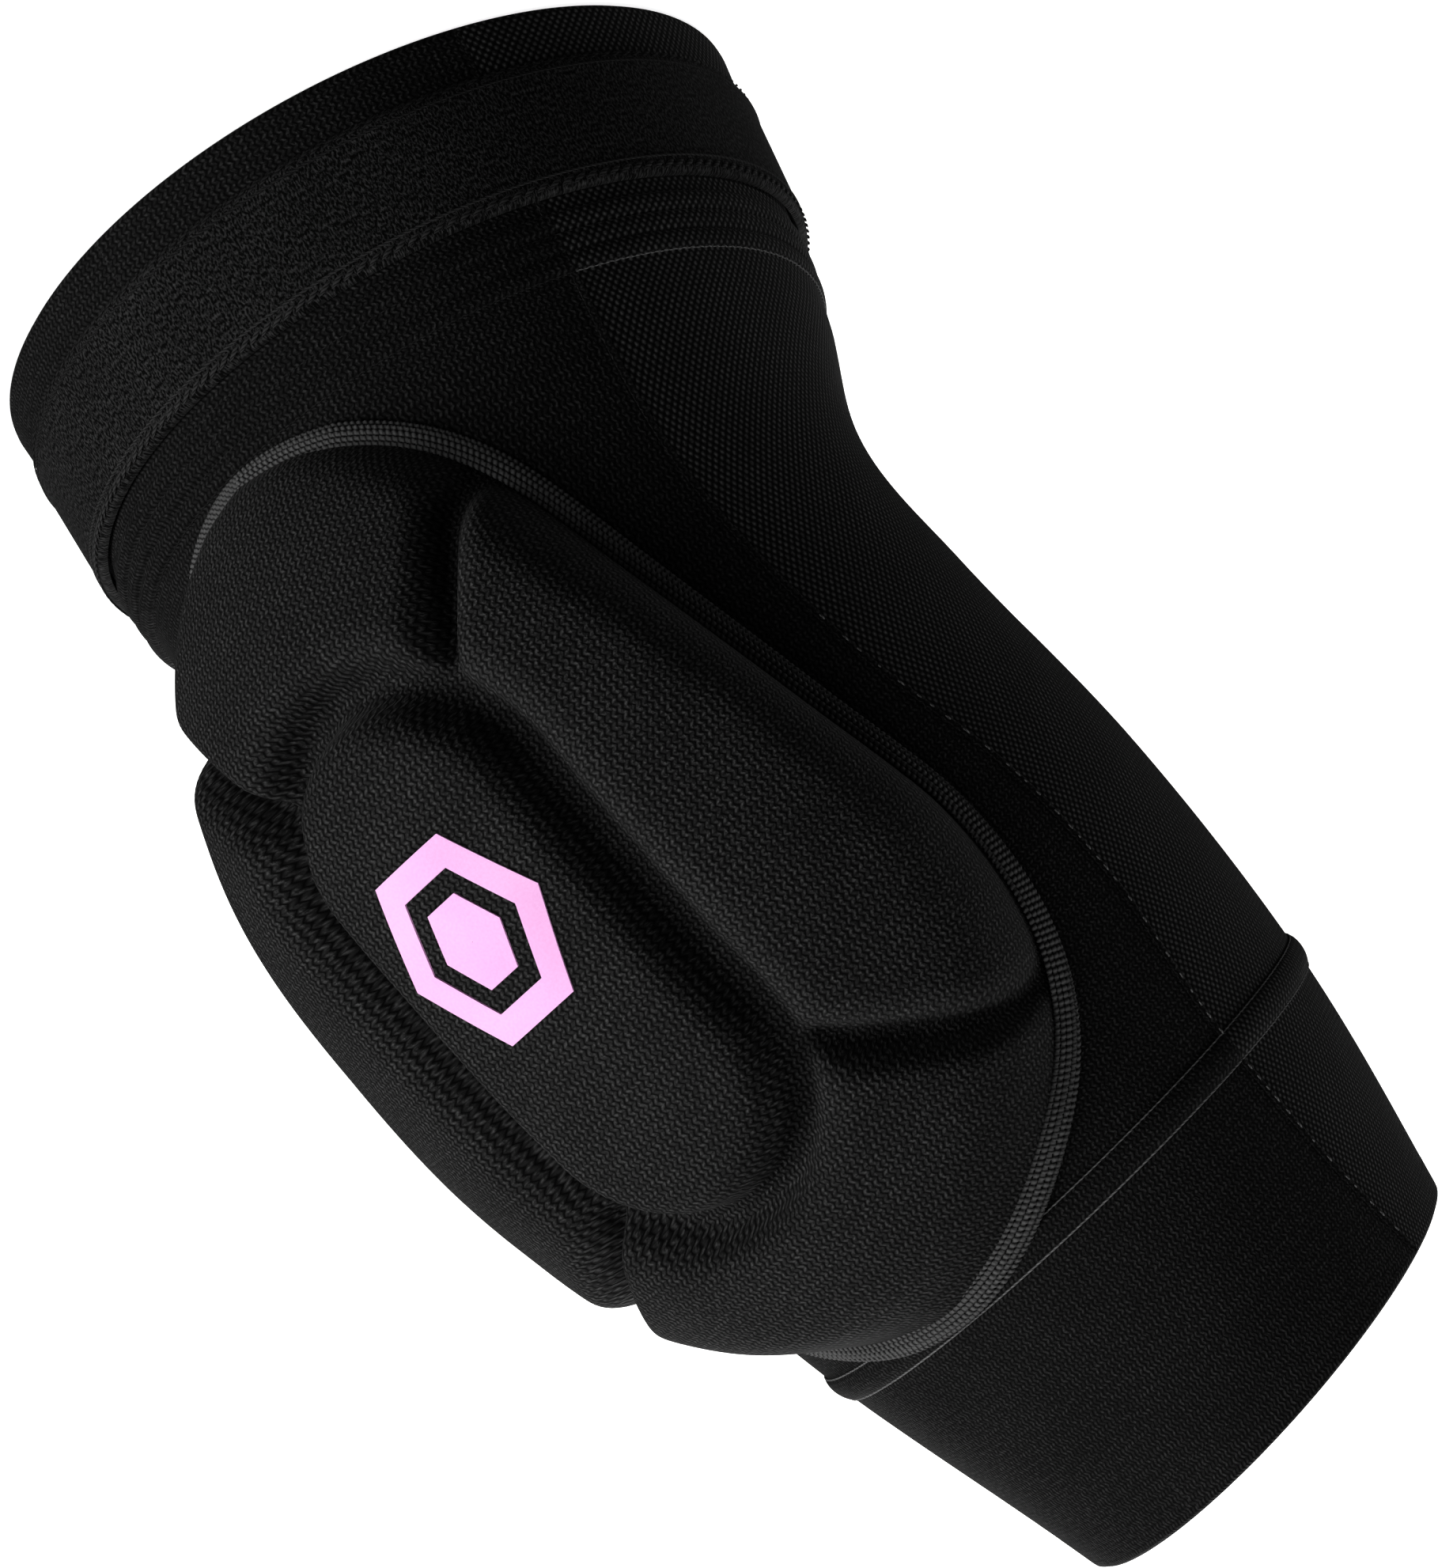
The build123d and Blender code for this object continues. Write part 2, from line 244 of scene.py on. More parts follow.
# %% [markdown]
# ## Colours
# Colours are written as the hex codes a dye card would give. The renderer works in linear light, so one
# function turns the codes over, and one function adds a node with its settings and links.

# %% Colour and node helpers
def linear(code):
    """Linear colour, with alpha, of an sRGB hex code."""
    shares = [int(code[i:i + 2], 16) / 255 for i in (1, 3, 5)]
    return [v / 12.92 if v <= 0.04045 else ((v + 0.055) / 1.055) ** 2.4 for v in shares] + [1.0]


def add_node(tree, kind, inputs=None, **settings):
    """Adds a node, sets its properties, and gives its inputs values or links from other nodes."""
    node = tree.nodes.new(kind)
    for name, value in settings.items():
        setattr(node, name, value)
    for socket, value in (inputs or {}).items():
        source = value.outputs[0] if isinstance(value, bpy.types.Node) else value
        if isinstance(source, bpy.types.NodeSocket):
            tree.links.new(source, node.inputs[socket])
        else:
            node.inputs[socket].default_value = source
    return node


# %% [markdown]
# ## Finishes
# Every cloth finish ends the same way: a dark fibre with a soft sheen at grazing angles, a colour that
# goes from the shade between the yarns to the yarn's crest, and a height that is turned into bumps. What
# differs is the drawing of the yarns, so each finish has its own short function for its pattern.

# %% The end of every cloth finish
# Dyed cloth is never even: clouds of tone, this many to the metre, this much darker and lighter
CLOUDS = 90.0
CLOUD_TONES = {3: 0.82, 4: 1.12}


def cloth_finish(name, pattern, shade, crest, depth, roughness=0.85, sheen=0.03, specular=0.08, strength=0.8):
    """A fabric whose pattern function gives its height, from 0 between yarns to 1 on a yarn's crest."""
    material = bpy.data.materials.new(name)
    material.use_nodes = True
    tree = material.node_tree
    tree.nodes.clear()
    weave = add_node(tree, "ShaderNodeUVMap", uv_map="Weave")
    split = add_node(tree, "ShaderNodeSeparateXYZ", {0: weave})
    height = pattern(tree, split.outputs[0], split.outputs[1], weave)
    place = add_node(tree, "ShaderNodeTexCoord").outputs["Object"]
    cloudy = add_node(tree, "ShaderNodeTexNoise", {"Vector": place, "Scale": CLOUDS, "Detail": 3.0})
    uneven = add_node(tree, "ShaderNodeMapRange", {0: cloudy, 1: 0.3, 2: 0.7, **CLOUD_TONES})
    tone = add_node(tree, "ShaderNodeMath", {0: height, 1: uneven}, operation="MULTIPLY")
    colour = add_node(tree, "ShaderNodeMix", {0: tone, 6: linear(shade), 7: linear(crest)}, data_type="RGBA")
    bump = add_node(tree, "ShaderNodeBump", {"Height": height, "Strength": strength, "Distance": depth * MM})
    rough = add_node(tree, "ShaderNodeMapRange", {0: height, 3: min(roughness + 0.12, 1), 4: roughness})
    surface = add_node(tree, "ShaderNodeBsdfPrincipled", {
        "Base Color": colour.outputs[2], "Roughness": rough, "Normal": bump,
        "Specular IOR Level": specular, "Sheen Weight": sheen, "Sheen Roughness": 0.35,
    })
    add_node(tree, "ShaderNodeOutputMaterial", {"Surface": surface})
    print("finish", name)
    return material


# %% [markdown]
# ### Stocking-stitch knit
# Polyester jersey, knitted on a round machine. Its loops lie in columns, and their legs lean left and
# right, so the eye follows zigzag yarns along the sleeve, 0.8 mm apart, with a tooth every 1.15 mm. A
# zigzag is a triangle wave added to the count of yarns, and a sine over that count gives each yarn its
# round back. A noise as fine as a stitch paints glints: it makes some loops bright and leaves most of
# them dim, in colour and in height.

# %% Knit patterns
# Noise in the yarns, in features to the millimetre, and how far it pushes a yarn aside, in yarns
YARN_NOISE = 1.7
YARN_STRAY = 0.22
FLOAT_NOISE = 2.3


def zigzag_knit(row, tooth, lean):
    """Pattern of zigzag yarns: row apart across, tooth long along, leaning this much of a row. In mm."""
    def pattern(tree, across, along, weave):
        count = add_node(tree, "ShaderNodeMath", {0: along, 1: tooth}, operation="DIVIDE")
        wave = add_node(tree, "ShaderNodeMath", {0: count, 1: 0.5}, operation="PINGPONG")
        rows = add_node(tree, "ShaderNodeMath", {0: across, 1: row}, operation="DIVIDE")
        leaning = add_node(tree, "ShaderNodeMath", {0: wave, 1: 2 * lean, 2: rows}, operation="MULTIPLY_ADD")
        noise = {"Vector": weave, "Scale": YARN_NOISE, "Detail": 2.0}
        fuzz = add_node(tree, "ShaderNodeTexNoise", noise)
        stray = {0: fuzz, 1: YARN_STRAY, 2: leaning}
        strayed = add_node(tree, "ShaderNodeMath", stray, operation="MULTIPLY_ADD")
        turns = add_node(tree, "ShaderNodeMath", {0: strayed, 1: math.pi}, operation="MULTIPLY")
        back = add_node(tree, "ShaderNodeMath", {0: turns}, operation="SINE")
        round_back = add_node(tree, "ShaderNodeMath", {0: back}, operation="ABSOLUTE")
        crest = add_node(tree, "ShaderNodeMath", {0: round_back, 1: 1.5}, operation="POWER")
        leg = add_node(tree, "ShaderNodeMath", {0: count, 1: 2 * math.pi}, operation="MULTIPLY")
        swell = add_node(tree, "ShaderNodeMath", {0: leg}, operation="SINE")
        legs = add_node(tree, "ShaderNodeMath", {0: swell}, operation="ABSOLUTE")
        fullness = add_node(tree, "ShaderNodeMapRange", {0: legs, 3: 0.45, 4: 1.0})
        full = add_node(tree, "ShaderNodeMath", {0: crest, 1: fullness}, operation="MULTIPLY")
        # Painted glints: a stitch-fine noise lightens some loops' colour and height and leaves most of them
        # dim
        painted_glints = add_node(tree, "ShaderNodeMapRange", {0: fuzz, 1: 0.45, 2: 0.72, 3: 0.3, 4: 1.3})
        return add_node(tree, "ShaderNodeMath", {0: full, 1: painted_glints}, operation="MULTIPLY")
    return pattern


def mesh_knit(column, row):
    """Pattern of a mesh knit: small light floats in columns, each row half a step from the next. In mm."""
    def pattern(tree, across, along, weave):
        around = add_node(tree, "ShaderNodeMath", {0: across, 1: math.pi / column}, operation="MULTIPLY")
        over = add_node(tree, "ShaderNodeMath", {0: along, 1: math.pi / row}, operation="MULTIPLY")
        lights = []
        for turn in ("COSINE", "SINE"):
            one = add_node(tree, "ShaderNodeMath", {0: around}, operation=turn)
            other = add_node(tree, "ShaderNodeMath", {0: over}, operation=turn)
            both = add_node(tree, "ShaderNodeMath", {0: one, 1: other}, operation="MULTIPLY")
            lights.append(add_node(tree, "ShaderNodeMath", {0: both}, operation="ABSOLUTE"))
        nearest = add_node(tree, "ShaderNodeMath", {0: lights[0], 1: lights[1]}, operation="MAXIMUM")
        float_height = add_node(tree, "ShaderNodeMath", {0: nearest, 1: 4.5}, operation="POWER")
        noise = {"Vector": weave, "Scale": FLOAT_NOISE, "Detail": 2.0}
        fuzz = add_node(tree, "ShaderNodeTexNoise", noise)
        uneven = add_node(tree, "ShaderNodeMapRange", {0: fuzz, 1: 0.3, 2: 0.7, 3: 0.3, 4: 1.2})
        return add_node(tree, "ShaderNodeMath", {0: float_height, 1: uneven}, operation="MULTIPLY")
    return pattern


# %% [markdown]
# ### Brushed elastic
# The strap is woven elastic with a brushed face: short light and dark tufts, so it looks like a grey
# melange. Noise draws the tufts, larger across the strap than round it, over faint ribs that run round
# the arm.

# %% Elastic, braid, thread and print patterns
def brushed_elastic(size_round, size_across, rib_pitch=0.9):
    """Pattern of brushed tufts, this large round the strap and across it, over ribs. In mm."""
    def pattern(tree, across, along, weave):
        size = (1 / size_round, 1 / size_across, 1.0)
        stretched = add_node(tree, "ShaderNodeVectorMath", {0: weave, 1: size}, operation="MULTIPLY")
        tufts = add_node(tree, "ShaderNodeTexNoise", {"Vector": stretched, "Scale": 1.0, "Detail": 3.0})
        clear = add_node(tree, "ShaderNodeMapRange", {0: tufts, 1: 0.44, 2: 0.74, 4: 1.1})
        ribs = add_node(tree, "ShaderNodeMath", {0: along, 1: 2 * math.pi / rib_pitch}, operation="MULTIPLY")
        rib = add_node(tree, "ShaderNodeMath", {0: ribs}, operation="SINE")
        ribbed = add_node(tree, "ShaderNodeMapRange", {0: rib, 1: -1.0, 2: 1.0, 3: 0.75, 4: 1.0})
        return add_node(tree, "ShaderNodeMath", {0: clear, 1: ribbed}, operation="MULTIPLY")
    return pattern


def twisted(pitch, lay=2.0):
    """Pattern of a twisted thread: its plies wind round it once every pitch, slanting by lay. In mm."""
    def pattern(tree, across, along, weave):
        wound = add_node(tree, "ShaderNodeMath", {0: across, 1: lay, 2: along}, operation="MULTIPLY_ADD")
        turns = add_node(tree, "ShaderNodeMath", {0: wound, 1: math.pi / pitch}, operation="MULTIPLY")
        ply = add_node(tree, "ShaderNodeMath", {0: turns}, operation="SINE")
        return add_node(tree, "ShaderNodeMath", {0: ply}, operation="ABSOLUTE")
    return pattern


def printed_grain(grain):
    """Pattern of a rubbery print over knit: a faint even grain. In mm."""
    def pattern(tree, across, along, weave):
        fine = add_node(tree, "ShaderNodeTexNoise", {"Vector": weave, "Scale": 1 / grain, "Detail": 2.0})
        return add_node(tree, "ShaderNodeMapRange", {0: fine, 1: 0.3, 2: 0.7, 3: 0.75})
    return pattern


# %% The finishes
# Fine polyester yarn, soft and nearly matt: the crests catch the light, and the gaps stay black
sleeve_jersey = cloth_finish("polyester_jersey_knitted", zigzag_knit(0.8, 1.15, 0.5),
                             "#010101", "#303030", 0.25)
# The same yarn stretched over foam: its loops open a little. Its crest is painted lighter than the sleeve's:
# painted light, for the brighter light on the pad
pad_jersey_painted_lighter = cloth_finish("stretch_jersey_over_foam_painted_lighter", zigzag_knit(0.9, 1.25, 0.5),
                          "#020202", "#454545", 0.3)
# Bright filament floats over a dark ground give the crook its sparkle
mesh_jersey = cloth_finish("polyester_mesh_knitted", mesh_knit(1.05, 1.3), "#020202", "#545454", 0.3)
# Brushing breaks the weave up into grey specks, with no shine
melange_elastic = cloth_finish("brushed_woven_elastic", brushed_elastic(0.32, 0.58),
                               "#020202", "#3E3E3E", 0.2)
# Bonded thread is smooth and light, spun thread is hairy and grey, and melange thread hides in the knit
light_thread = cloth_finish("bonded_polyester_thread", twisted(0.8), "#2C2C2C", "#747474", 0.05)
grey_thread = cloth_finish("spun_polyester_thread", twisted(0.9), "#0C0C0C", "#363636", 0.08)
melange_thread = cloth_finish("melange_polyester_thread", twisted(0.9), "#070707", "#242424", 0.06)
# Textured yarn, braided: each loop is lighter on its crest, with a dark gap after it
piping_braid = cloth_finish("braided_polyester_piping", twisted(0.85, 0.3), "#060606", "#565656", 0.15)
# Pink rubber ink, screen printed: even, opaque and a little satin
rubber_print = cloth_finish("screen_printed_rubber_ink", printed_grain(0.4), "#E58CD3", "#FDC0F3", 0.05,
                            roughness=0.55, sheen=0.0, specular=0.3, strength=0.3)

# %% [markdown]
# ## Sleeve panels
# Two knits are sewn together along the sides: jersey on the pad's side, and a mesh that breathes in the
# crook of the elbow. Each panel is one piece of cloth from hem to hem, shaped bent over the elbow.

# %% Panels
HEM_WIDTH = 8.0
LOWER_HEM_WIDTH = 6.0
ROWS = 190
WEAVE_RADIUS = 45.0
full_turn = 2 * math.pi


def weave_map(s, around, radius=WEAVE_RADIUS):
    """Millimetres round and along: a knit keeps its number of loops, so they narrow with the sleeve."""
    return np.stack(np.broadcast_arrays(around * radius, s), -1)


def panel(name, start, end, columns, finish):
    """A sheet of knit between two lines of angle, given by functions of s."""
    s = np.linspace(HEM_WIDTH - 1.5, SLEEVE_LENGTH - LOWER_HEM_WIDTH + 1.0, ROWS)[:, None]
    around = start(s) + (end(s) - start(s)) * np.linspace(0, 1, columns)[None, :]
    face = on_sleeve(s, around, -0.02)
    back = on_sleeve(s, around, -CLOTH)
    piece = make_piece(name, skin(face, back, weave_map(s, around)), [finish])
    return piece


outer_panel = panel("outer_knit_panel", lambda s: -seam_angle(s), seam_angle, 110, sleeve_jersey)
inner_panel = panel("inner_mesh_panel", seam_angle, lambda s: full_turn - seam_angle(s), 150, mesh_jersey)
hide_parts("upper_outer_panel", "forearm_outer_panel", "cuff_outer_panel")
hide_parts("upper_inner_panel", "forearm_inner_panel", "cuff_inner_panel", "elbow_crook_panel")
for piece in (outer_panel, inner_panel):
    bend_over_elbow(piece)

# %% [markdown]
# ## Hems and welts
# The rims are folded over twice and stitched, and a welt is a tuck of both knits, sewn flat, that grips
# the arm. They go all the way round, so each takes both knits, split at the side seams.

# %% A band round the sleeve
def both_knits(s, around):
    """0 where the band is jersey and 1 where it is mesh, for each quad."""
    middle = (around[:, :-1] + around[:, 1:]) / 2
    fold = np.minimum(middle, full_turn - middle)
    return (fold > seam_angle(s)[: len(middle)])[:-1].astype(int)


def band(name, start, end, profile, inside, rows, columns=220):
    """A ring of both knits. profile is its face's height over the cloth, inside is its back's depth."""
    s = np.linspace(start, end, rows)[:, None]
    around = np.broadcast_to(np.linspace(0, full_turn, columns)[None, :], (rows, columns))
    share = np.linspace(0, 1, rows)[:, None]
    face = on_sleeve(s, around, profile(share, around))
    back = on_sleeve(s, around, -inside + 0 * around)
    number = both_knits(s, around)
    piece = make_piece(name, skin(face, back, weave_map(s, around), number, ring=True),
                       [sleeve_jersey, mesh_jersey])
    return piece


def rounded(share, edge):
    """From 0 at both ends to 1 between them, rounded like a fold. edge is the rounded share of the width."""
    nearest = np.minimum(share, 1 - share)
    t = np.clip(nearest / edge, 0, 1)
    return np.sqrt(1 - (1 - t) ** 2)


top_hem = band("top_hem", 0.0, HEM_WIDTH, lambda t, a: 0.9 * rounded(t, 0.15) - 0.7 + 0 * a, 2.5, 14)
lower_hem = band("forearm_hem", SLEEVE_LENGTH - LOWER_HEM_WIDTH, SLEEVE_LENGTH,
                 lambda t, a: 0.6 * rounded(t, 0.12) - 0.6 + 0 * a, 1.9, 14)
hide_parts("top_hem_band")
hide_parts("lower_hem_band")
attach(top_hem, "upper_sleeve")
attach(lower_hem, "forearm_sleeve")

# %% Welts
UPPER_WELT = (28.6, 37.0)
LOWER_WELT = (156.0, 160.2)
WELT_RISE = 0.9


def gathered(around, middle, spread):
    """1 where the welt is bunched, round the middle angle in degrees, falling to 0 away from it."""
    off = (np.degrees(around) - middle + 180) % 360 - 180
    return np.exp(-((off / spread) ** 2))


def upper_folds(share, around):
    """Three soft ridges with creases between them, bunched on the pad's right."""
    bunch = 0.55 + 0.75 * gathered(around, 65, 55)
    ridges = np.abs(np.sin(3 * math.pi * share)) ** 0.45
    return 0.15 + WELT_RISE * bunch * ridges


def lower_folds(share, around):
    """One soft ridge between its two rows of stitches."""
    return 0.1 + 0.75 * np.sin(math.pi * share) ** 0.5 + 0 * around


upper_welt = band("upper_welt", *UPPER_WELT, upper_folds, 0.6, 34)
lower_welt = band("lower_welt", *LOWER_WELT, lower_folds, 0.6, 16)
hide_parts("upper_ring_band")
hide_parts("lower_ring_band")
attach(lower_welt, "forearm_sleeve")
bend_over_elbow(upper_welt)

# %% [markdown]
# ## Elastic strap
# A wide band of woven elastic holds the sleeve up. It narrows less than the knit under it, so its lower
# edge stands off the knit and leaves a dark gap.

# %% Strap
STRAP_START = 8.0
STRAP_WIDTH = 18.6
STRAP_BORE = 52.5
STRAP_THICKNESS = 1.5
# Its lower edge is this much tighter, and flares out beside the pad, round this angle, in degrees
STRAP_TAPER = 1.3
FLARE_MIDDLE = 95
FLARE_SPREAD = 60


def strap_radius(share, around):
    """Radius of the strap's face: a little waisted, and flared where it stands off the knit."""
    flare = 0.35 * gathered(around, FLARE_MIDDLE, FLARE_SPREAD) * share
    thickness = STRAP_THICKNESS * (0.45 + 0.5 * rounded(share, 0.07))
    return STRAP_BORE + thickness + flare - STRAP_TAPER * share


def strap_bore(share, around):
    """Radius of the strap's back."""
    flare = 0.3 * gathered(around, FLARE_MIDDLE, FLARE_SPREAD) * share
    return STRAP_BORE + 0.1 + flare - STRAP_TAPER * share


def around_strap(share, around, radius):
    """Points on a straight ring round the upper arm."""
    s = STRAP_START + STRAP_WIDTH * share
    return np.stack(np.broadcast_arrays(radius * np.sin(around), -radius * np.cos(around), s), -1)


share = np.linspace(0, 1, 40)[:, None]
around = np.linspace(0, full_turn, 260)[None, :]
face = around_strap(share, around, strap_radius(share, around))
back = around_strap(share, around, strap_bore(share, around))
strap_weave = weave_map(STRAP_START + STRAP_WIDTH * share, around, STRAP_BORE)
strap = make_piece("elastic_strap_band", skin(face, back, strap_weave, ring=True), [melange_elastic])
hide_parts("elastic_strap")
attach(strap, "upper_sleeve")

# %% [markdown]
# The strap's edges are caught by slanted stitches, one every 1.9 mm, that lie flat on the elastic like
# small leaves, with a straight thread beside them. They are thicker than life, so that they show.

# %% Strap stitching
STITCH_PITCH = 1.9
STITCH_COUNT = round(full_turn * (STRAP_BORE + STRAP_THICKNESS) / STITCH_PITCH)
THREAD_STEPS = 600


def straight_out(angle):
    """Direction straight out of the straight part of the sleeve, at these angles."""
    return np.stack([np.sin(angle), -np.cos(angle), 0 * angle], -1)


def on_strap(share, around, lift):
    """Points on the strap's face, raised by lift."""
    return around_strap(share, around, strap_radius(np.clip(share, 0.08, 0.92), around) + lift)


def strap_edge(name, edge, width, thick, line, finish, node):
    """Slanted stitches along one edge of the strap, each a leaf of thread, beside a straight thread."""
    parts = []
    run = np.linspace(0, 1, 7)
    bow = np.sin(math.pi * run)
    for number in range(STITCH_COUNT):
        angle = (number + 1.15 * run) * full_turn / STITCH_COUNT
        share = edge + width * (run - 0.5) / STRAP_WIDTH
        out = straight_out(angle)
        parts.append(thread(on_strap(share, angle, 0.06 * bow), out, 0.07 + thick * bow, 6,
                            closed=False, flat=0.5))
    angle = np.arange(THREAD_STEPS) / THREAD_STEPS * full_turn
    straight = on_strap(np.full(THREAD_STEPS, line), angle, 0.05)
    parts.append(thread(straight, straight_out(angle), 0.17, 6))
    piece = make_piece(name, parts, [finish], weld=0.001)
    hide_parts(node)
    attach(piece, "upper_sleeve")


strap_edge("strap_upper_stitches", 0.035, 0.9, 0.13, 0.09, melange_thread, "strap_upper_stitching")
strap_edge("strap_lower_stitches", 0.945, 1.2, 0.26, 0.88, grey_thread, "strap_lower_stitching")

# %% Welt stitching
def stitched_line(name, s, rise, thickness, stitch, gap, finishes, rider):
    """A row of stitches that dip into the cloth. finishes are for the jersey side and the mesh side."""
    radius = float(through(GIRTHS, s))
    count = round(full_turn * radius / (stitch + gap))
    turns = np.arange(count * 10) / (count * 10)
    beat = (turns * count) % 1
    up = np.sqrt(np.clip(1 - (2 * beat / (stitch / (stitch + gap)) - 1) ** 2, 0, 1))
    angle = turns * full_turn
    path = on_sleeve(s, angle, rise - thickness * 0.9 * (1 - up))
    points, weave, number = thread(path, outward_on(s, angle), thickness, 6)
    fold = np.minimum(angle, full_turn - angle) > seam_angle(s)
    number = np.broadcast_to(fold[:, None], number.shape).astype(int)
    piece = make_piece(name, [(points, weave, number)], finishes, weld=0.001)
    rider(piece)


def with_forearm(piece):
    """Moves with the forearm."""
    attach(piece, "forearm_sleeve")


both_sides = [light_thread, light_thread]
dim_sides = [melange_thread, grey_thread]
light_crook = [melange_thread, light_thread]
stitched_line("upper_welt_first_stitches", 31.6, 0.3, 0.16, 1.3, 0.25, dim_sides, bend_over_elbow)
stitched_line("upper_welt_stitches", UPPER_WELT[1] - 0.1, 0.22, 0.11, 1.0, 0.5, light_crook, bend_over_elbow)
stitched_line("lower_welt_upper_stitches", LOWER_WELT[0], 0.24, 0.1, 1.1, 0.35, both_sides, with_forearm)
stitched_line("lower_welt_lower_stitches", LOWER_WELT[1], 0.24, 0.13, 1.1, 0.35, both_sides, with_forearm)

# %% [markdown]
# ## Side seams
# The panels meet edge to edge under a flat seam. Its cover stitch shows as short light dashes down each
# side.

# %% Seams
SEAM_STITCH = 1.1
SEAM_GAP = 0.7
SEAM_SHOWS = 84.0


def side_seam(name, side, nodes):
    """A low cord over the join, and dashes of light thread past the elbow, no two alike."""
    s = np.linspace(HEM_WIDTH - 7, SLEEVE_LENGTH - 0.6, 420)
    angle = side * seam_angle(s)
    cord = thread(on_sleeve(s, angle, 0.02), outward_on(s, angle), 0.5, 8, closed=False, flat=0.55)
    parts = [cord]
    dice = np.random.default_rng(7)
    start = SEAM_SHOWS
    while start < SLEEVE_LENGTH - 4:
        stitch = SEAM_STITCH * dice.uniform(0.5, 1.4)
        run = np.linspace(start, start + stitch, 7)
        start += stitch + SEAM_GAP * dice.uniform(0.6, 3.5)
        line = side * seam_angle(run)
        bow = np.sin(np.linspace(0, math.pi, 7))
        points, weave, number = thread(on_sleeve(run, line, 0.12 + 0.2 * bow), outward_on(run, line),
                                       0.05 + 0.08 * bow, 6, closed=False)
        parts.append((points, weave, number + 1))
    piece = make_piece(name, parts, [sleeve_jersey, light_thread], weld=0.001)
    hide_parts(*nodes)
    bend_over_elbow(piece)


side_seam("left_side_seam", -1, ("upper_left_seam", "forearm_left_seam", "cuff_left_seam"))
side_seam("right_side_seam", 1, ("upper_right_seam", "forearm_right_seam", "cuff_right_seam"))

# %% [markdown]
# ## The pad
# The real pad is closed-cell foam, pressed in a hot mould into a dome and four bolsters with channels
# between them, with stretch jersey laminated over it. Foam keeps its moulded shape, so the pad is drawn
# as one skin whose height over the sleeve is worked out: a crowned envelope, less a channel round the
# dome and four grooves, and the jersey's pull over the edges is a few rounds of smoothing.

# %% The pad's outline and crown
# One half of the outline: (degrees round, s). It is widest past the elbow.
OUTLINE = ((0, 39.0), (21, 43.4), (36, 53.0), (46.5, 70.0), (55.5, 91.0), (60.3, 110.0), (57, 129.0),
           (45, 143.5), (22, 154.6), (0, 158.2))
# Height of the crown over the cloth, along the pad's middle
CROWN = ((39.0, 2.0), (45, 8.0), (54, 14.6), (66, 19.3), (90, 19.3), (115, 18.2), (138, 15.4), (150, 10.0),
         (158.2, 2.0))
EDGE_RISE = 0.7
# Share of its height that the crown loses at the sides: more towards the lower end
FLANK_FALL = ((39, 0.2), (96, 0.2), (120, 0.33), (158.2, 0.42))
# The wall starts this far inside the outline, under the piping, and takes this width to rise
WALL_FOOT = 1.5
WALL_WIDTH = ((39, 11), (95, 11), (122, 15), (158.2, 20))


def smooth_outline(samples):
    """(s, angle) along one half of the outline, on a smooth curve through its points."""
    points = np.array(OUTLINE, float)
    mirrored = np.concatenate([[(-points[1, 0], points[1, 1])], points, [(-points[-2, 0], points[-2, 1])]])
    t = np.linspace(0, len(points) - 1 - 1e-9, samples)
    i = t.astype(int)
    u = (t - i)[:, None]
    before, start, end, after = (mirrored[i + k] for k in range(4))
    curve = 0.5 * (2 * start + (end - before) * u + (2 * before - 5 * start + 4 * end - after) * u**2
                   + (3 * start - before - 3 * end + after) * u**3)
    return curve[:, 1], np.radians(curve[:, 0])


outline_s, outline_angle = smooth_outline(600)
order = np.argsort(outline_s)
outline_s, outline_angle = outline_s[order], outline_angle[order]
print("pad from", round(outline_s[0], 1), "to", round(outline_s[-1], 1), "mm, half width",
      round(math.degrees(outline_angle.max()), 1), "degrees")

# %% Dome, channel and grooves
PAD_TILT = math.radians(22.0)
DOME_HALF = 17.5
DOME_ENDS = (67.0, 126.0)
CHANNEL_HALF = 3.5
CHANNEL_DEPTH = 0.44
GROOVE_DEPTH = 0.54
# Each groove's two ends: (s, degrees round)
GROOVES = (((70.0, 15.5), (49.0, 35.0)), ((119.0, 22.0), (138.5, 49.0)))


def pad_flat(points):
    """Places on the flat tool that pressed the pad: across and along it."""
    along = points[..., 1] * math.sin(PAD_TILT) + points[..., 2] * math.cos(PAD_TILT)
    return np.stack([points[..., 0], along], -1)


def to_segment(places, start, end):
    """Distance of places from the line between two points."""
    way = end - start
    t = np.clip(((places - start) @ way) / (way @ way), 0, 1)
    return np.linalg.norm(places - start - t[..., None] * way, axis=-1)


def shoulder(distance, floor, width):
    """1 on a channel's floor and 0 on the foam beside it, with a steep wall that rounds over into the top."""
    t = np.clip((distance - floor) / width, 0, 1)
    return 1 - np.sqrt(1 - (1 - t) ** 2)


def envelope(s, across):
    """Height of the pad without its channels. across goes from -1 to 1 between the outline's sides."""
    top = through(CROWN, s) * (1 - through(FLANK_FALL, s) * across**2) - EDGE_RISE
    inside = (1 - np.abs(across)) * np.interp(s, outline_s, outline_angle) * through(GIRTHS, s)
    wall = np.clip((inside - WALL_FOOT) / through(WALL_WIDTH, s), 0, 1)
    return EDGE_RISE + np.maximum(top, 0) * (1 - (1 - wall) ** 2.2)


